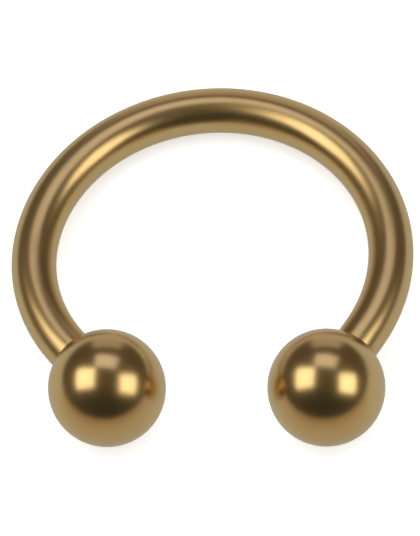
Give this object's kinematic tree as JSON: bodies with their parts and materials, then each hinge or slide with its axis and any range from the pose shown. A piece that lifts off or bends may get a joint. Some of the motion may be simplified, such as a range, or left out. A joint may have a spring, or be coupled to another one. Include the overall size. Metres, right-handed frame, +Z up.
{
  "type": "circular barbell",
  "caption": "Round bar bent to an open ring, with a screw-on ball at each end, worn through a piercing and shown lying flat.",
  "frame": {"origin": "bottom centre of the box round the whole piece, as it lies on its side on a flat surface", "axes": "+Z up, +X along the line from the left ball's centre to the right ball's, +Y from the balls towards the middle of the bar"},
  "size_m": [0.0102, 0.0104, 0.003],
  "materials": {
    "bar": "gold-coloured PVD coating on drawn and polished 316L steel",
    "balls": "gold-coloured PVD coating on polished 316L steel"
  },
  "bodies": {
    "bar": {"bar": "bar"},
    "left_ball": {"left_ball": "balls"},
    "right_ball": {"right_ball": "balls"}
  },
  "joints": [
    {"name": "left_ball_unscrew", "type": "slide", "parent": "bar", "child": "left_ball", "axis": [0.6616, -0.7453, 0.082], "range_m": [0, 0.0019]},
    {"name": "right_ball_unscrew", "type": "slide", "parent": "bar", "child": "right_ball", "axis": [-0.486, -0.8687, 0.0956], "range_m": [0, 0.0019]}
  ]
}
